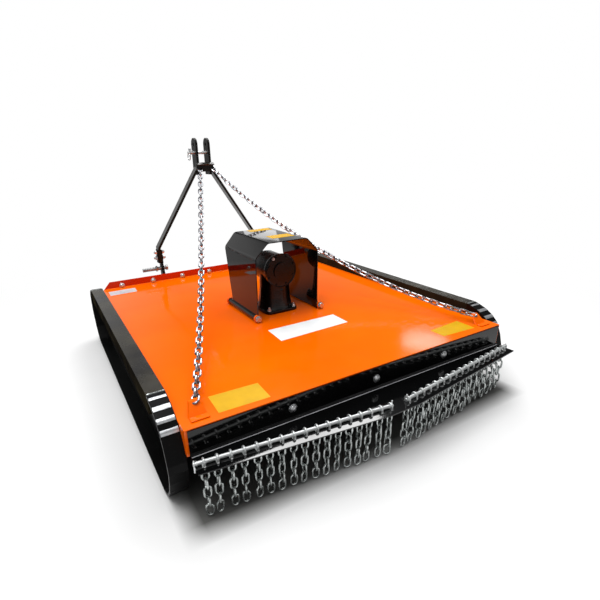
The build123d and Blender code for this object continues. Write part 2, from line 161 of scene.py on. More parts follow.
def galvanised(name, dark, light, rough, scale=160.0, grain=0.00018):
    """Zinc with its crystal patches and dull spots."""
    mat, tree, bsdf = new_mat(name)
    place = coords(tree)
    cells = add(tree, "ShaderNodeTexVoronoi", {"Vector": place, "Scale": scale})
    tone = ramp(tree, cells.outputs["Color"], [(0.1, dark), (0.9, light)])
    sheen = span(tree, noise(tree, place, 220.0, 3.0), (0.3, 0.7), rough)
    feed(tree, bsdf, {"Base Color": tone, "Roughness": sheen, "Metallic": 1.0})
    bump(tree, bsdf, [(noise(tree, place, 380.0, 3.0), grain)], 0.7)
    return mat


def label(name, dark, light):
    """Printed foil with nothing on it: slight creases, faint tone."""
    mat, tree, bsdf = new_mat(name)
    place = coords(tree)
    tone = ramp(tree, noise(tree, place, 14.0), [(0.3, dark), (0.7, light)])
    sheen = span(tree, noise(tree, place, 30.0), (0.3, 0.7), (0.28, 0.45))
    feed(tree, bsdf, {"Base Color": tone, "Roughness": sheen, "Specular IOR Level": 0.15})
    bump(tree, bsdf, [(noise(tree, place, 45.0, 2.0), 0.0003)], 0.5)
    return mat


def paint_underside_shade(mat):
    """Painted shade: faces that look down get a near-black colour, so the underside reads as in
    shadow.
    """
    tree = mat.node_tree
    bsdf = tree.nodes["Principled BSDF"]
    tone = bsdf.inputs["Base Color"].links[0].from_socket
    down = span(tree, part_of(tree, surface(tree, "Normal"), "Z"), (-0.8, -0.4), (1.0, 0.0))
    tone = mixed(tree, "RGBA", down, tone, (0.004, 0.004, 0.004, 1))
    feed(tree, bsdf, {"Base Color": tone})


def painted_sheen_by_facing(mat, axis, source, target):
    """Painted sheen: the specular level follows the way a face looks, so faces turned one way
    shine more than the rest.
    """
    tree = mat.node_tree
    level = span(tree, part_of(tree, surface(tree, "Normal"), axis), source, target)
    feed(tree, tree.nodes["Principled BSDF"], {"Specular IOR Level": level})


deck_mat = paint("deck_orange", (0.95, 0.118, 0.0), (1.0, 0.155, 0.0), (0.07, 0.13),
                 peel=0.00005, patch=1.6, dust=((0.9, 0.4, 0.2), 0.15), level=0.30)
# painted shade under the deck: its downward faces are near black
paint_underside_shade(deck_mat)
# painted shade: the front lip gets a darker copy of the deck's orange
lip_shaded_mat = paint("lip_orange_shaded", (0.56, 0.026, 0.0), (0.66, 0.034, 0.001), (0.3, 0.4), level=0.2)
black_mat = paint("black_gloss", (0.0012, 0.0013, 0.0014), (0.0024, 0.0025, 0.0027),
                  (0.03, 0.09), peel=0.00006, patch=3.0, dust=(grey(0.1), 0.3), level=0.42,
                  wave=0.0004)
side_mat = paint("black_side", (0.0014, 0.0014, 0.0015), (0.003, 0.003, 0.0032), (0.3, 0.45),
                 peel=0.0002, patch=4.0, dust=((0.1, 0.1, 0.09), 0.4), level=0.1)
tube_mat = paint("black_tube", (0.006, 0.005, 0.005), (0.034, 0.028, 0.014), (0.16, 0.36),
                 patch=5.0, dust=((0.14, 0.13, 0.1), 0.4))
# painted sheen: the tubes' tops shine, their sides stay dull
painted_sheen_by_facing(tube_mat, "Z", (0.25, 0.95), (0.0, 0.8))
shield_mat = paint("shield_gloss", (0.0016, 0.0015, 0.0015), (0.003, 0.0028, 0.0027),
                   (0.02, 0.05), peel=0.00004, patch=3.0, dust=(grey(0.1), 0.2), level=0.42,
                   wave=0.0006)
frame_mat = paint("frame_olive", (0.006, 0.0056, 0.0035), (0.014, 0.013, 0.009), (0.2, 0.34),
                  peel=0.00025, patch=22.0, dust=((0.16, 0.15, 0.1), 0.5))
# painted sheen: the legs' rear faces shine more than their other faces
painted_sheen_by_facing(frame_mat, "Y", (-0.9, -0.3), (0.15, 0.7))
cast_mat = paint("cast_black", (0.0016, 0.0012, 0.0012), (0.0036, 0.003, 0.003), (0.18, 0.3),
                 peel=0.0005, patch=12.0, dust=(grey(0.08), 0.3), level=0.3)
bracket_mat = paint("bracket_black", (0.0025, 0.0023, 0.002), (0.006, 0.0055, 0.0045),
                    (0.3, 0.45), peel=0.0003, patch=14.0, dust=((0.12, 0.11, 0.09), 0.4),
                    level=0.16)
rubber_mat = paint("flap_rubber", grey(0.008), (0.016, 0.016, 0.015), (0.62, 0.85),
                   peel=0.0004, patch=6.0, dust=((0.09, 0.085, 0.075), 0.6), level=0.3)
zinc_mat = galvanised("zinc_bright", (0.5, 0.51, 0.52), (0.74, 0.75, 0.76), (0.2, 0.38))
chain_mat = galvanised("zinc_chain", (0.28, 0.29, 0.31), (0.58, 0.59, 0.62), (0.14, 0.28),
                       scale=90.0)
guard_mat = galvanised("zinc_guard", (0.28, 0.3, 0.295), (0.6, 0.63, 0.62), (0.16, 0.3),
                       scale=90.0)
rod_mat = galvanised("zinc_rod", (0.78, 0.8, 0.8), (0.88, 0.9, 0.9), (0.42, 0.5), scale=24.0,
                     grain=0.00003)
# painted highlight: bright zinc for the strips over the skid shoes' bends
bend_highlight_mat = galvanised("bend_highlight", (0.72, 0.74, 0.77), (0.9, 0.92, 0.94), (0.26, 0.4),
                      scale=60.0, grain=0.00006)
steel_mat = galvanised("ground_steel", grey(0.3), grey(0.46), (0.28, 0.42), scale=30.0)
yellow_mat = label("label_yellow", (0.60, 0.33, 0.0), (0.68, 0.38, 0.0))
white_mat = label("label_white", (0.78, 0.79, 0.8), (0.88, 0.88, 0.89))
grey_mat = label("label_grey", (0.42, 0.42, 0.45), (0.6, 0.6, 0.62))

# the CAD nodes' looks; the ones not named here are glossy black
LOOKS = (
    (deck_mat, "deck_plate rear_flange side_flanges chain_lugs"),
    (lip_shaded_mat, "front_lip"),
    (side_mat, "deck_channels skid_shoe_left skid_shoe_right skid_plate_left "
               "skid_plate_right"),
    (tube_mat, "skid_tube_left skid_tube_right"),
    (shield_mat, "drive_shield"),
    (frame_mat, "headstock_leg_left headstock_leg_right chain_cross_plate"),
    (bracket_mat, "top_link_ears hitch_brackets"),
    (cast_mat, "gearbox_housing gearbox_rear_cover gearbox_front_cap spindle_housing"),
    (rubber_mat, "front_flap"),
    (zinc_mat, "flap_clamp_bars rotor_fasteners"),
    (guard_mat, "guard_chains_left guard_chains_right"),
    (chain_mat, "lift_chains"),
    (rod_mat, "top_link_pin"),
    (steel_mat, "lower_hitch_pins input_shaft blade_front blade_rear"))
EASED = {"skid_tube_left": 0.007, "skid_tube_right": 0.007, "deck_plate": 0.001,
         "front_lip": 0.001, "side_flanges": 0.0012, "chain_lugs": 0.0015,
         "top_link_ears": 0.0015, "chain_cross_plate": 0.002, "flap_clamp_bars": 0.001,
         "deck_channels": 0.001, "blade_carrier": 0.002}


def give(obj, mat):
    obj.data.materials.clear()
    obj.data.materials.append(mat)


def ease(obj, width, angle=40):
    """Rounds the edges that are sharper than angle."""
    m = obj.modifiers.new("eased_edges", "BEVEL")
    m.width, m.segments = width, 2
    m.limit_method, m.angle_limit = "ANGLE", math.radians(angle)
    m.harden_normals = True


for node_obj in nodes.values():
    give(node_obj, black_mat)
for look, names in LOOKS:
    for node_name in names.split():
        give(nodes[node_name], look)
for node_name, edge in EASED.items():
    ease(nodes[node_name], edge)


class Build:
    """Collects vertices and faces, then makes one object."""

    def __init__(self):
        self.verts, self.faces = [], []

    def put(self, verts, faces, m=Matrix.Identity(4)):
        first = len(self.verts)
        self.verts += [m @ Vector(p) for p in verts]
        self.faces += [[i + first for i in face] for face in faces]

    def make(self, name, mat, body="machine", slot=None, smooth=True, angle=35):
        """The object; edges that turn by more than angle stay sharp."""
        mesh = bpy.data.meshes.new(name)
        mesh.from_pydata([tuple(p) for p in self.verts], [], self.faces)
        mesh.validate()
        bm = bmesh.new()
        bm.from_mesh(mesh)
        bmesh.ops.recalc_face_normals(bm, faces=bm.faces)
        for face in bm.faces:
            face.smooth = smooth
        for edge in bm.edges:
            if len(edge.link_faces) == 2 and edge.calc_face_angle(0) > math.radians(angle):
                edge.smooth = False
        bm.to_mesh(mesh)
        bm.free()
        obj = bpy.data.objects.new(name, mesh)
        bpy.context.scene.collection.objects.link(obj)
        give(obj, mat)
        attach(obj, body)
        return obj


def turned(axis, where):
    """Matrix whose local Z is axis, at where."""
    z = Vector(axis).normalized()
    x = Vector((1, 0, 0)) if abs(z.x) < 0.9 else Vector((0, 1, 0))
    x = (x - z * x.dot(z)).normalized()
    m = Matrix((x, z.cross(x), z)).transposed().to_4x4()
    m.translation = where
    return m


def circle(r, h, seg, turn=0.0):
    """Points around Z at the height h."""
    return [(r * math.cos(2 * math.pi * i / seg + turn),
             r * math.sin(2 * math.pi * i / seg + turn), h) for i in range(seg)]


def lathe(profile, seg=32):
    """Body turned about Z from (radius, height) points; a point on the axis closes it."""
    verts, faces, rings = [], [], []
    for r, h in profile:
        ring = [(0, 0, h)] if r < 1e-6 else circle(r, h, seg)
        rings.append(list(range(len(verts), len(verts) + len(ring))))
        verts += ring
    for a, b in zip(rings, rings[1:]):
        for i in range(seg):
            j = (i + 1) % seg
            if len(a) == 1 and len(b) > 1:
                faces.append([a[0], b[j], b[i]])
            elif len(b) == 1 and len(a) > 1:
                faces.append([a[i], a[j], b[0]])
            elif len(a) > 1:
                faces.append([a[i], a[j], b[j], b[i]])
    return verts, faces


def loft(rings, closed=False):
    """Skin over rings of equal length; ends capped unless closed."""
    n, k = len(rings[0]), len(rings)
    faces = []
    for a in range(k if closed else k - 1):
        b = (a + 1) % k
        for i in range(n):
            j = (i + 1) % n
            faces.append([a * n + i, a * n + j, b * n + j, b * n + i])
    if not closed:
        faces.append(list(range(n))[::-1])
        faces.append([(k - 1) * n + i for i in range(n)])
    return [p for ring in rings for p in ring], faces


def cylinder(r, length, seg):
    """Plain round bar along Z."""
    return lathe([(0, 0), (r, 0), (r, length), (0, length)], seg)


def hex_head(across, h, turn=0.0):
    """Hexagon head on z = 0 with its chamfered crown."""
    r = across / math.sqrt(3)
    return loft([circle(r, 0, 6, turn), circle(r, h * 0.8, 6, turn),
                 circle(r * 0.86, h, 6, turn)])


def washer(r, h):
    e = h * 0.3
    return lathe([(0, 0), (r - e, 0), (r, e), (r, h - e), (r - e, h), (0, h)], 28)


def bolt(build, where, axis, size=0.010, stud=0.006, wash=True):
    """Washer, nut and the end of its thread on a face; all in proportion to the thread."""
    m = turned(axis, where)
    turn = rng.uniform(0, 1.0)
    washer_h, nut_h = size * 0.2 if wash else 0.0, size * 0.72
    if wash:
        build.put(*washer(size * 1.12, washer_h), m)
    build.put(*hex_head(size * 1.62, nut_h, turn), m @ Matrix.Translation((0, 0, washer_h)))
    if stud:
        r, top = size * 0.5, washer_h + nut_h
        build.put(*lathe([(r, top - 0.001), (r, top + stud - 0.001), (r * 0.8, top + stud),
                          (0, top + stud)], 20), m)


def dome_bolt(build, where, h):
    """Round-headed coach bolt on a thin washer, looking back."""
    r, base, rim = 0.0125, 0.0022, 0.002
    m = turned((0, -1, 0), where)
    build.put(*washer(r * 1.25, base), m)
    crown = [(r * math.cos(a), base + rim + (h - rim) * math.sin(a))
             for a in [math.radians(10 * i) for i in range(9)]]
    build.put(*lathe([(r, base)] + crown + [(0, h + base)], 28), m)


def deck_block(build, x0, x1, y0, y1, h):
    """Low block with eased edges, standing on the deck."""
    c = 0.001

    def ring(z, e):
        return [at(x, y, z) for x, y in (
            (x0 + e + c, y0 + e), (x1 - e - c, y0 + e), (x1 - e, y0 + e + c),
            (x1 - e, y1 - e - c), (x1 - e - c, y1 - e), (x0 + e + c, y1 - e),
            (x0 + e, y1 - e - c), (x0 + e, y0 + e + c))]
    build.put(*loft([ring(0, c), ring(c, 0), ring(h - c, 0), ring(h, c)]))


def round_section(centre, s, u, r, seg=8):
    """Points around centre in the plane of s and u."""
    return [centre + (s * math.cos(a) + u * math.sin(a)) * r
            for a in [2 * math.pi * i / seg for i in range(seg)]]


def closed_wire(path, r, seg=8, up=(0, 1, 0)):
    """Round section swept along a closed path."""
    rings = []
    for i, p in enumerate(path):
        along = (Vector(path[(i + 1) % len(path)]) - Vector(path[i - 1])).normalized()
        s = along.cross(Vector(up)).normalized()
        rings.append(round_section(Vector(p), s, s.cross(along), r, seg))
    return loft(rings, True)


def bead(build, p, q, r, up=(0, 0, 1), step=0.006):
    """Weld bead between two points: overlapping ripples."""
    count = max(3, int((q - p).length / (step * 0.5)))
    along = (q - p).normalized()
    s = along.cross(Vector(up)).normalized()
    rings = []
    for i in range(count + 1):
        k = r * (1.0 if i % 2 else 0.82) * (0.9 + 0.2 * rng.random())
        if i in (0, count):
            k *= 0.35
        rings.append(round_section(p + (q - p) * (i / count), s, s.cross(along), k))
    build.put(*loft(rings))


def link(length, width, wire):
    """One chain link in local XZ, its middle at the origin."""
    r = width / 2 - wire / 2
    half = length / 2 - wire / 2 - r
    arc = [math.pi * i / 6 for i in range(7)]
    path = [(r * math.cos(a), 0, half + r * math.sin(a)) for a in arc]
    path += [(-r * math.cos(a), 0, -half - r * math.sin(a)) for a in arc]
    return closed_wire(path, wire / 2)


# the rear guard's chains, which ride on two rods along the edge of its V-shaped shelf
WIRE, PITCH = 0.007, 0.0335
LINK = link(PITCH + 2 * WIRE, 0.028, WIRE)
CHAINS, LINKS = 17, 6           # chains on a rod, links in a chain
FIRST_X, STEP_X = 0.040, 0.0398
SWAY = 0.012                    # spread of the chains' lean, in radians
SHELF_Z = 0.200                 # the shelf's upper face above the floor
ROD_R = 0.0065
END_X, END_Y = 0.705, -0.085    # the shelf's edge at its ends
APEX_X, APEX_Y = 0.062, -0.158  # the shelf's edge beside its middle
ROD_EDGE = 0.038                # from that edge to the rod
SLOPE = (END_Y - APEX_Y) / (END_X - APEX_X)
TURN = math.atan(SLOPE)


def on_rod(x):
    """The rod's y at x, in the drawing frame, on the right side."""
    return APEX_Y + ROD_EDGE / math.cos(TURN) + (x - APEX_X) * SLOPE


def guard_chain(links, riders, s, x):
    """One hanging chain; its first link, over the rod, goes with the riders."""
    top = Vector((s * x, on_rod(x) + OY, SHELF_Z + 2 * ROD_R + WIRE))
    sway = (Matrix.Rotation(rng.gauss(0, SWAY), 4, "Y")
            @ Matrix.Rotation(rng.gauss(0, SWAY), 4, "X"))
    for i in range(LINKS):
        drop = Matrix.Translation((0, 0, -PITCH / 2 - WIRE - PITCH * i))
        spin = TURN * s + (0 if i % 2 else math.pi / 2) + rng.gauss(0, 0.16 if i else 0.03)
        (links if i else riders).put(
            *LINK, Matrix.Translation(top) @ sway @ drop @ Matrix.Rotation(spin, 4, "Z"))


def guard_rod(build, s):
    """Rod with chamfered ends and, near each end, a cross pin and a collar."""
    a, c = [Vector((s * x, on_rod(x) + OY, SHELF_Z + ROD_R)) for x in (0.030, 0.707)]
    length, along = (c - a).length, (c - a).normalized()
    chamfer = 0.001
    build.put(*lathe([(0, 0), (ROD_R - chamfer, 0), (ROD_R, chamfer),
                      (ROD_R, length - chamfer), (ROD_R - chamfer, length), (0, length)], 24),
              turned(along, a))
    # place of the pin, its lower and upper end, place of the collar
    for pin, low, high, collar in ((0.005, -0.006, 0.021, 0.011),
                                   (length - 0.0035, -0.030, 0.012, length - 0.0115)):
        build.put(*lathe([(0, low), (0.002, low), (0.0024, low + 0.001),
                          (0.0024, high - 0.001), (0.002, high), (0, high)], 12),
                  turned((0, 0, 1), a + along * pin))
        build.put(*lathe([(ROD_R, 0), (ROD_R + 0.003, 0.0003), (ROD_R + 0.003, 0.0017),
                          (ROD_R, 0.002)], 20), turned(along, a + along * collar))


for side, s in (("right", 1), ("left", -1)):
    links, riders = Build(), Build()
    for i in range(CHAINS):
        guard_chain(links, riders, s, FIRST_X + STEP_X * i)
    piece = links.make("guard_chain_" + side, guard_mat, slot="zinc_steel")
    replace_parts(piece, "guard_chains_" + side)
    guard_rod(riders, s)
    riders.make("guard_rod_" + side, rod_mat, slot="zinc_steel")

LIFT_PITCH, LIFT_WIRE = 0.034, 0.0085
LIFT_LINK = link(LIFT_PITCH + 2 * LIFT_WIRE, 0.0305, LIFT_WIRE)


def lift_chain(build, head, foot, sag):
    """Links from head to foot along a line that hangs by sag at its middle."""
    marks, parts = [], 400
    for u in [i / parts for i in range(parts + 1)]:
        marks.append(head + (foot - head) * u - Vector((0, 0, 4 * sag * u * (1 - u))))
    steps = list(zip(marks, marks[1:]))
    length = sum((q - p).length for p, q in steps)
    count = round(length / LIFT_PITCH)
    gone, k = 0.0, 0
    for p, q in steps:
        gone += (q - p).length
        if k < count and gone >= (k + 0.5) * length / count:
            spin = (math.pi / 2 if k % 2 else 0) + rng.gauss(0, 0.07) + 0.25
            build.put(*LIFT_LINK, turned(q - p, p) @ Matrix.Rotation(spin, 4, "Z"))
            k += 1


lift = Build()
# x at the cross plate and at the lug, sag
for head_x, lug_x, sag in ((-0.031, -0.646, 0.132), (0.042, 0.646, 0.114)):
    lift_chain(lift, at(head_x, 1.5458, 0.643), at(lug_x, 0.074, 0.030), sag)
piece = lift.make("lift_chain_links", chain_mat, slot="zinc_steel")
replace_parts(piece, "lift_chains")

HUB = 0.730                     # y of the rotor's and the gearbox's upright axis
DRIVE_Z = 0.203                 # height of the drive's axis
COVER_Y = 0.658                 # the rear face of the gearbox cover's disc
PLATE_Y = -0.004                # the guard plate's rear face
LIP_Y = 1.526                   # the front lip's rear face
CLAMP_Y = 1.544                 # the front face of the flap's clamp bars
HITCH_Y = 1.5675                # y of the lower pins and of the bolts above them
PIN_X, PIN_Y, PIN_Z = -0.071, 1.591, 0.726      # the linchpin, in the top link pin's end
FOOT_X = {-1: -0.1640, 1: 0.1790}       # the shield's foot rods, as the photo has them
FOOT_Z = 0.018
FOOT_RINGS = (0.6005, 0.906)    # y of the rings that hold them
SHIELD_TOP = 0.356
SKID_IN, SKID_OUT = 0.708, 0.766        # x of the skids' inner and outer sides

zinc = Build()
for x in (-0.352, 0.003, 0.357):
    dome_bolt(zinc, at(x, PLATE_Y, -0.048), 0.008)
for x in (-0.586, -0.402, -0.218, -0.040, 0.144, 0.242, 0.402, 0.586):
    dome_bolt(zinc, at(x, LIP_Y, 0.013), 0.010)
    bolt(zinc, at(x, CLAMP_Y, 0.005), (0, 1, 0))
for s in (-1, 1):
    for y in (HUB - 0.068, HUB + 0.068):
        bolt(zinc, at(s * 0.068, y, 0.016), (0, 0, 1), stud=0.008)
    # through bolts and nuts of the headstock's feet
    for x, way in ((0.3505, 1), (0.3180, -1)):
        bolt(zinc, at(s * x, HITCH_Y, 0.136), (s * way, 0, 0), 0.013, 0.007)
        bolt(zinc, at(s * x, HITCH_Y, 0.170), (s * way, 0, 0), 0.012, 0.005)
    # head, washer and nut of the shield's foot rod
    zinc.put(*washer(0.0150, 0.003), turned((0, -1, 0), at(FOOT_X[s], 0.5925, FOOT_Z)))
    zinc.put(*hex_head(0.0235, 0.009, 0.2),
             turned((0, -1, 0), at(FOOT_X[s], 0.5900, FOOT_Z)))
    bolt(zinc, at(FOOT_X[s], 0.912, FOOT_Z), (0, 1, 0), 0.0125)
# filler plug on the gearbox cover
zinc.put(*hex_head(0.014, 0.007, 0.3), turned((0, -1, 0), at(-0.044, COVER_Y, 0.266)))
# linchpin with its spring ring
zinc.put(*lathe([(0, -0.022), (0.0045, -0.020), (0.0045, 0.012), (0.0075, 0.014),
                 (0.0075, 0.021), (0.005, 0.024), (0, 0.024)], 16),
         turned((0, 0, 1), at(PIN_X, PIN_Y, PIN_Z)))
zinc.put(*closed_wire([at(PIN_X - 0.006, PIN_Y + 0.021 * math.sin(a),
                          PIN_Z - 0.020 + 0.021 * math.cos(a))
                       for a in [math.pi * i / 10 for i in range(20)]],
                      0.0026, 6, (1, 0, 0)))
zinc.make("plate_bolts", zinc_mat, slot="zinc_steel")

foot_rings, foot_rods = Build(), Build()
for s in (-1, 1):
    for y in FOOT_RINGS:
        foot_rings.put(*lathe([(0.0125, -0.006), (0.0172, -0.0055), (0.0172, 0.0055),
                               (0.0125, 0.006)], 28),
                       turned((0, 1, 0), at(FOOT_X[s], y, FOOT_Z)))
        deck_block(foot_rings, FOOT_X[s] - 0.009, FOOT_X[s] + 0.009, y - 0.005, y + 0.005,
                   0.008)
    foot_rods.put(*cylinder(0.0128, 0.318, 32),
                  turned((0, 1, 0), at(FOOT_X[s], 0.594, FOOT_Z)))
foot_rings.make("shield_foot_rings", deck_mat, slot="deck_paint")
piece = foot_rods.make("shield_foot_rods", shield_mat, slot="black_paint")
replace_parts(piece, "shield_feet")

# headstock legs: one flat bar each, its foot between narrow bracket plates
LEG = [(0.3395, 0.110), (0.3395, 0.1983), (0.045, 0.6489), (0.045, 0.6214), (0.3245, 0.1937),
       (0.3245, 0.110)]         # x, z
PLATES = (                      # x of both faces, outline in y, z
    ((0.3185, 0.3450), [(1.5545, 0.104), (1.5885, 0.104), (1.5885, 0.178), (1.5545, 0.186)]),
    ((0.3200, 0.3360), [(1.532, -0.070), (1.567, -0.070), (1.5885, 0.058), (1.5885, 0.112),
                        (1.5800, 0.126), (1.5545, 0.126), (1.5545, 0.092), (1.532, 0.030)]),
    ((0.3455, 0.3500), [(1.5545, 0.106), (1.5885, 0.106), (1.5885, 0.150), (1.5800, 0.190),
                        (1.5545, 0.190)]))
brackets = Build()
for side, s in (("right", 1), ("left", -1)):
    leg = Build()
    leg.put(*loft([[at(s * x, y, z) for x, z in LEG] for y in (1.554, 1.610)]))
    piece = leg.make("headstock_bar_" + side, frame_mat, slot="frame_paint", angle=20)
    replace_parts(piece, "headstock_leg_" + side)
    ease(piece, 0.002)
    for faces_x, outline in PLATES:
        brackets.put(*loft([[at(s * x, y, z) for y, z in outline] for x in faces_x]))
piece = brackets.make("hitch_bracket_plates", bracket_mat, slot="black_paint", angle=20)
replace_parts(piece, "hitch_brackets")
ease(piece, 0.0012)

LABEL_T = 0.0006
LABELS = (                      # name, material, height, corners in x, y
    ("deck_plate_white", white_mat, 0.0,
     [(-0.175, 0.368), (0.179, 0.381), (0.181, 0.492), (-0.169, 0.493)]),
    ("deck_label_left", yellow_mat, 0.0,
     [(-0.590, 0.030), (-0.416, 0.025), (-0.412, 0.123), (-0.586, 0.131)]),
    ("deck_label_right", yellow_mat, 0.0,
     [(0.411, 0.045), (0.588, 0.034), (0.590, 0.125), (0.409, 0.114)]),
    ("deck_label_front", grey_mat, 0.0,
     [(-0.673, 1.396), (-0.528, 1.398), (-0.525, 1.476), (-0.673, 1.474)]),
    ("shield_label_front", yellow_mat, SHIELD_TOP,
     [(-0.040, 0.880), (0.082, 0.882), (0.082, 0.934), (-0.040, 0.932)]),
    ("shield_label_rear", yellow_mat, SHIELD_TOP,
     [(-0.036, 0.668), (0.083, 0.670), (0.083, 0.738), (-0.036, 0.736)]))
for name, mat, height, corners in LABELS:
    foil = Build()
    foil.put(*loft([[at(x, y, z) for x, y in corners] for z in (height, height + LABEL_T)]))
    foil.make(name, mat, smooth=False)

# the shoe's outer line round a skid's end: distance from the end, height
SHOE = [(0.165, 0.046), (0.143, 0.041), (0.103, 0.028), (0.067, 0.007), (0.040, -0.018),
        (0.017, -0.066)]
SKID_ENDS = (0.005, 1.575)      # y of the skids' rear and front end


def highlight_band_section(before, bend, after, out, width):
    """Section, in the YZ plane, of the painted highlight band over a bend of the shoe."""
    normals = [(q - p).cross(Vector((1, 0, 0))).normalized()
               for p, q in ((before, bend), (bend, after))]
    n1, n2 = [n if n.dot(out) > 0 else -n for n in normals]
    mean = (n1 + n2).normalized()
    back, on = (before - bend).normalized() * width, (after - bend).normalized() * width
    run = [bend + back + n1 * 0.0003, bend + back * 0.45 + n1 * 0.0011, bend + mean * 0.0010,
           bend + on * 0.45 + n2 * 0.0011, bend + on + n2 * 0.0003]
    return run + [p - mean * 0.002 for p in reversed(run)]


# painted highlights: bright strips over the shoes' bends stand in for the light they catch
shoe_highlights = Build()
for s in (-1, 1):
    for end_y, out_y in zip(SKID_ENDS, (-1, 1)):
        line = [Vector((0, end_y - out_y * d, z)) for d, z in SHOE]
        for k in range(1, len(SHOE) - 1):
            section = highlight_band_section(*line[k - 1:k + 2], Vector((0, out_y, 1)),
                                   0.0055 if k == 1 else 0.0085)
            shoe_highlights.put(*loft([[at(s * x, p.y, p.z) for p in section]
                             for x in (SKID_IN + 0.0025, SKID_OUT - 0.0015)]))
shoe_highlights.make("skid_bend_highlights", bend_highlight_mat, slot="black_paint", angle=50)

# welds between the shoes' ends and the square tubes
skid_welds = Build()
for s in (-1, 1):
    for y in (0.170, 1.410):
        bead(skid_welds, at(s * (SKID_IN + 0.001), y, 0.0458),
             at(s * (SKID_OUT - 0.001), y, 0.0458), 0.0034, step=0.011)
skid_welds.make("skid_welds", guard_mat, slot="black_paint")

# painted highlight: a thin pale grey rod along the lower edge of each tube's outer side
tube_edge_highlights = Build()
for s in (-1, 1):
    tube_edge_highlights.put(*cylinder(0.0012, 1.225, 8),
                   turned((0, 1, 0), at(s * (SKID_OUT - 0.0012), 0.180, -0.0215)))
tube_edge_highlights.make("tube_edge_highlight_rods", grey_mat, slot="black_paint")

frame_welds = Build()
for s in (-1, 1):
    for z in (0.636, 0.621):
        bead(frame_welds, at(s * 0.046, 1.556, z), at(s * 0.046, 1.580, z), 0.003, (1, 0, 0))
frame_welds.make("frame_welds", frame_mat, slot="frame_paint")

# welds and pads of the chain lugs, welds of the foot rods' rings
lug_welds = Build()
for s in (-1, 1):
    for y, r in ((0.0435, 0.0035), (0.0580, 0.0030)):
        bead(lug_welds, at(s * 0.619, y, 0.0015), at(s * 0.677, y, 0.0015), r)
    for y in FOOT_RINGS:
        for x in (FOOT_X[s] - 0.010, FOOT_X[s] + 0.010):
            bead(lug_welds, at(x, y - 0.006, 0.001), at(x, y + 0.006, 0.001), 0.003,
                 step=0.005)
for s in (-1, 1):
    deck_block(lug_welds, s * 0.648 - 0.029, s * 0.648 + 0.029, 0.024, 0.0445, 0.005)
lug_welds.make("lug_welds", deck_mat, slot="deck_paint")


def inner_fold(name, mat, slot, r, half, y, z):
    """Rounded inner corner of bent sheet, along x, that opens back and up from y, z."""
    arc = [(r - r * math.sin(a), r - r * math.cos(a))
           for a in [math.pi / 16 * i for i in range(9)]]
    fold = Build()
    fold.put(*loft([[at(x, y - dy, z + dz) for dy, dz in [(0.0, 0.0)] + arc]
                    for x in (-half, half)]))
    fold.make(name, mat, slot=slot)


inner_fold("lip_fold", deck_mat, "deck_paint", 0.005, 0.688, LIP_Y, 0.0)
flange = Build()
flange.put(*loft([[at(x, y, z) for y, z in (
    (1.5435, 0.6655), (1.5280, 0.6560), (1.5245, 0.6610), (1.5435, 0.6720), (1.5535, 0.6720),
    (1.5535, 0.6662))] for x in (-0.053, 0.053)]))
flange.make("cross_plate_flange", frame_mat, slot="black_paint", angle=20)
inner_fold("guard_fold", black_mat, "black_paint", 0.007, 0.6995, PLATE_Y, -0.090)
# painted highlight: a thin pale grey rod along the guard's fold
fold_highlight = Build()
fold_highlight.put(*cylinder(0.0012, 1.396, 8), turned((1, 0, 0), at(-0.698, -0.0118, -0.0893)))
fold_highlight.make("guard_fold_highlight", grey_mat, slot="black_paint")


def cast(name, build, voxel, rounds, mat, slot):
    """Joins the bodies of a casting into one skin with soft fillets."""
    obj = build.make(name, mat, slot=slot, angle=180)
    m = obj.modifiers.new("skin", "REMESH")
    m.mode, m.voxel_size, m.use_smooth_shade = "VOXEL", voxel, True
    m = obj.modifiers.new("fillets", "SMOOTH")
    m.factor, m.iterations = 0.6, rounds
    return obj


def rounded(half, r, z, seg=6):
    """Square with round corners about the upright axis."""
    return [at(sx * (half - r) + r * math.cos(a), HUB + sy * (half - r) + r * math.sin(a), z)
            for sx, sy, quarter in ((1, 1, 0), (-1, 1, 1), (-1, -1, 2), (1, -1, 3))
            for a in [math.pi / 2 * (quarter + i / seg) for i in range(seg + 1)]]


gearbox = Build()
# foot, flared neck and the drum that lies along the drive's axis
gearbox.put(*loft([rounded(0.0865, 0.03, 0.0005), rounded(0.0865, 0.03, 0.0145),
                   rounded(0.0845, 0.028, 0.016)]))
gearbox.put(*lathe([(0, 0.004), (0.0855, 0.004), (0.0855, 0.018), (0.0825, 0.028),
                    (0.0795, 0.044), (0.0755, 0.070), (0.0725, 0.110), (0.0710, 0.180),
                    (0.060, 0.225), (0, 0.235)], 64), turned((0, 0, 1), at(0, HUB, 0)))
gearbox.put(*lathe([(0, -0.074), (0.070, -0.074), (0.073, -0.071), (0.073, 0.039),
                    (0.0755, 0.043), (0.0755, 0.056), (0.070, 0.0565), (0, 0.0565)], 64),
            turned((0, -1, 0), at(0, HUB, DRIVE_Z)))
RIB = [(0.040, 0.010), (0.0815, 0.010), (0.0800, 0.030), (0.0745, 0.112), (0.040, 0.125)]
RIB_HALF = 0.0045
for degrees in (-90, 0, 180):
    cos, sin = math.cos(math.radians(degrees)), math.sin(math.radians(degrees))
    gearbox.put(*loft([[at(cos * d - sin * w, HUB + sin * d + cos * w, z) for d, z in RIB]
                       for w in (-RIB_HALF, RIB_HALF)]))
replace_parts(cast("gearbox_casting", gearbox, 0.0024, 4, cast_mat, "gearbox_casting"),
            "gearbox_housing")


def bolt_circle(build, count, r, start, y, way):
    """Small bolts around the drive's axis."""
    for i in range(count):
        a = math.radians(start + 360 / count * i)
        bolt(build, at(r * math.cos(a), y, DRIVE_Z + r * math.sin(a)), (0, way, 0), 0.0062, 0,
             False)


caps = Build()
bolt_circle(caps, 8, 0.069, 22.5, COVER_Y, -1)
bolt_circle(caps, 6, 0.056, 0.0, HUB + 0.089, 1)
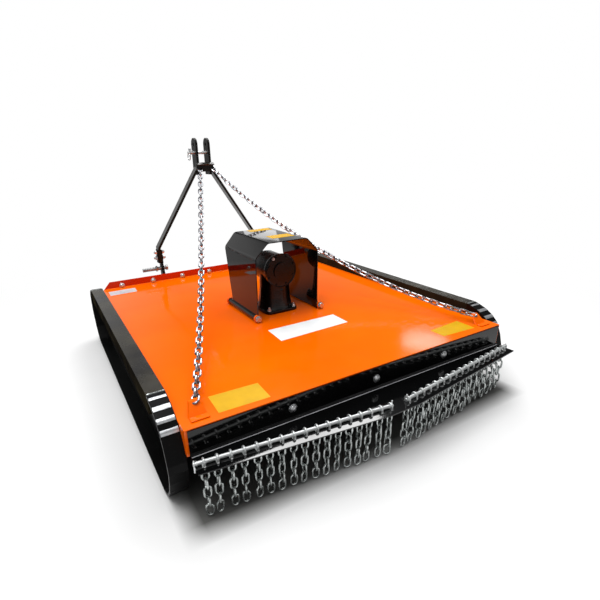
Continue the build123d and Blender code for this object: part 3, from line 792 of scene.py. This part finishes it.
# raised rim round the rear cover
caps.put(*lathe([(0.0795, 0), (0.0795, 0.002), (0.077, 0.0032), (0.0745, 0.002), (0.0745, 0)],
                64), turned((0, -1, 0), at(0, COVER_Y, DRIVE_Z)))
caps.make("gearbox_bolts", cast_mat, slot="gearbox_casting")

# the drive shield's outer line in x, z
SHIELD = [(-0.164, 0.0060), (-0.164, 0.294), (-0.102, SHIELD_TOP), (0.102, SHIELD_TOP),
          (0.164, 0.294), (0.164, 0.0060)]


def bent(corners, r, steps=6):
    """The line with a round bend in place of each inner corner."""
    line = [Vector(p) for p in corners]
    out = [line[0]]
    for a, v, c in zip(line, line[1:], line[2:]):
        p, q = v + (a - v).normalized() * r, v + (c - v).normalized() * r
        for f in [i / steps for i in range(steps + 1)]:
            out.append(p * (1 - f) ** 2 + v * 2 * f * (1 - f) + q * f * f)
    return out + [line[-1]]


def moved_in(line, depth):
    """The line moved sideways by depth."""
    res = []
    for i, v in enumerate(line):
        d = (line[min(i + 1, len(line) - 1)] - line[max(i - 1, 0)]).normalized()
        res.append(v + Vector((d.y, -d.x)) * depth)
    return res


def shield_front(z):
    """The front edge's y: it leans forward towards the top."""
    return 0.865 + 0.075 * z / SHIELD_TOP


outer = bent(SHIELD, 0.012)
section = outer + moved_in(outer, 0.0045)[::-1]
shield = Build()
shield.put(*loft([[at(p.x, 0.597, p.y) for p in section],
                  [at(p.x, shield_front(p.y), p.y) for p in section]]))
piece = shield.make("shield_sheet", shield_mat, slot="black_paint", angle=50)
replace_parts(piece, "drive_shield")
ease(piece, 0.0008, 60)


def floor_material():
    """White floor with a painted shadow under the machine; far off it runs into the backdrop.
    """
    mat, tree, bsdf = new_mat("floor_white")
    position = surface(tree, "Position")
    pale = ramp(tree, noise(tree, coords(tree), 1.5), [(0.3, grey(0.86)), (0.7, grey(0.89))])
    # painted shadow: the floor's colour is dark under the machine, so the ground seen between
    # the guard chains is dark
    under = [span(tree, calc(tree, "ABSOLUTE", part_of(tree, position, axis)), edge, (1, 0))
             for axis, edge in (("X", (0.70, 0.78)), ("Y", (0.80, 0.88)))]
    tone = mixed(tree, "RGBA", calc(tree, "MULTIPLY", *under), pale, (0.11, 0.11, 0.105, 1))
    feed(tree, bsdf, {"Base Color": tone, "Roughness": 0.8, "Specular IOR Level": 0.2})
    # far off, seen straight or in a reflection, it shines like the backdrop
    rays = add(tree, "ShaderNodeLightPath").outputs
    seen = calc(tree, "MAXIMUM", rays["Is Camera Ray"], rays["Is Glossy Ray"])
    distance = add(tree, "ShaderNodeVectorMath", {0: position}, operation="LENGTH")
    far = calc(tree, "MULTIPLY", seen,
               span(tree, distance.outputs["Value"], (1.1, 2.6), (0.0, 1.0)))
    # what mirrors sees a dark hall behind the camera and to the left
    hall = calc(tree, "MULTIPLY",
                span(tree, part_of(tree, position, "Y"), (-1.6, -0.4), (0.03, 0.9)),
                span(tree, part_of(tree, position, "X"), (-0.9, 0.3), (0.42, 1.0)))
    glow = add(tree, "ShaderNodeEmission", {
        "Color": (1, 1, 1, 1),
        "Strength": mixed(tree, "FLOAT", rays["Is Camera Ray"], hall, 1.0)})
    both = add(tree, "ShaderNodeMixShader", {0: far, 1: bsdf.outputs[0], 2: glow.outputs[0]})
    feed(tree, tree.nodes["Material Output"], {"Surface": both.outputs[0]})
    return mat


def floor():
    half = 14.0
    mesh = bpy.data.meshes.new("floor")
    mesh.from_pydata([(-half, -half, 0), (half, -half, 0), (half, half, 0), (-half, half, 0)],
                     [], [(0, 1, 2, 3)])
    obj = bpy.data.objects.new("floor", mesh)
    bpy.context.scene.collection.objects.link(obj)
    give(obj, floor_material())


def studio():
    """The surroundings: white for the camera, soft light from above for matt faces, and a
    dark hall over a bright horizon for what mirrors. The stops go by the sine of the height.
    """
    world = bpy.data.worlds.new("studio")
    bpy.context.scene.world = world
    world.use_nodes = True
    tree = world.node_tree
    way = add(tree, "ShaderNodeTexCoord").outputs["Generated"]
    height = part_of(tree, way, "Z")

    def sky(*stops):
        return ramp(tree, height, [(position, grey(level)) for position, level in stops])
    right_sky = sky((0.0, 0.95), (0.10, 0.85), (0.20, 0.36), (0.30, 0.15), (0.37, 0.05),
                    (0.52, 0.03), (0.60, 0.45), (0.70, 0.5), (0.80, 0.16))
    left_sky = sky((0.0, 0.5), (0.14, 0.6), (0.24, 0.8), (0.42, 0.55), (0.52, 0.2),
                   (0.62, 0.04), (0.80, 0.16))
    mirrored = mixed(tree, "RGBA", span(tree, part_of(tree, way, "X"), (0.0, 0.26), (0.0, 1.0)),
                     left_sky, right_sky)
    soft = sky((0.0, 0.03), (0.45, 0.08), (0.75, 0.75), (1.0, 1.3))
    rays = add(tree, "ShaderNodeLightPath").outputs
    seen = calc(tree, "MAXIMUM", rays["Is Camera Ray"], rays["Is Transmission Ray"])
    level = mixed(tree, "FLOAT", seen, soft, 1.0)
    level = mixed(tree, "FLOAT", rays["Is Glossy Ray"], level, mirrored)
    feed(tree, tree.nodes["Background"], {"Color": (1, 1, 1, 1), "Strength": level})


floor()
studio()


def area(name, where, to, size, power, shape="RECTANGLE"):
    """Area lamp at where that shines towards to."""
    light = bpy.data.lights.new(name, "AREA")
    light.shape = shape
    light.size, light.size_y = size
    light.energy = power
    obj = bpy.data.objects.new(name, light)
    bpy.context.scene.collection.objects.link(obj)
    obj.location = where
    obj.rotation_euler = (Vector(to) - Vector(where)).to_track_quat("-Z", "Y").to_euler()
    return obj


def beyond(spot, azimuth, elevation, far):
    """A place seen from spot at an azimuth from +Y towards +X and a height angle."""
    a, b = math.radians(azimuth), math.radians(elevation)
    return spot + Vector((math.sin(a) * math.cos(b), math.cos(a) * math.cos(b),
                          math.sin(b))) * far


area("key", (-1.3, -0.5, 3.5), (0, 0, 0.3), (2.2, 2.0), 76)
area("top", (1.2, 1.0, 3.4), (0, 0, 0.3), (2.6, 1.6), 40)
# the window that the guard's shelf mirrors; its right end hangs a little higher
window = area("window", (1.85, 2.69, 3.604), (1.85, -0.835, 0.2), (3.3, 0.32), 44)
window.rotation_euler = (window.rotation_euler.to_matrix()
                         @ Matrix.Rotation(math.radians(-3.4), 3, "Z")).to_euler()
# the bright patches that the deck and the shield mirror
MIRROR_FAR = 4.5
deck_spot, shield_spot = at(0.42, 0.25, 0), at(-0.04, 0.72, SHIELD_TOP)
area("patch", beyond(deck_spot, 52, 25.2, MIRROR_FAR), deck_spot, (0.66, 0.28), 1.8, "ELLIPSE")
area("glow", beyond(shield_spot, 26.9, 10.0, MIRROR_FAR), shield_spot, (0.55, 0.34), 0.7)

# the camera's place, direction, focal length and shift come from the photo's vanishing points
cam = bpy.data.cameras.new("camera")
cam.sensor_width, cam.lens = 36.0, 24.686
cam.shift_x, cam.shift_y = 0.0394, 0.0390
cam.clip_start, cam.clip_end = 0.05, 60.0
eye = bpy.data.objects.new("camera", cam)
bpy.context.scene.collection.objects.link(eye)
right = Vector((0.8676, -0.4967, -0.0248)).normalized()
ahead = Vector((0.4509, 0.8066, -0.3822)).normalized()
up = right.cross(ahead).normalized()
right = ahead.cross(up).normalized()
m = Matrix((right, up, -ahead)).transposed().to_4x4()
m.translation = at(-0.9386, -0.9594, 0.7119)
eye.matrix_world = m
bpy.context.scene.camera = eye

bpy.context.scene.view_settings.view_transform = "Standard"
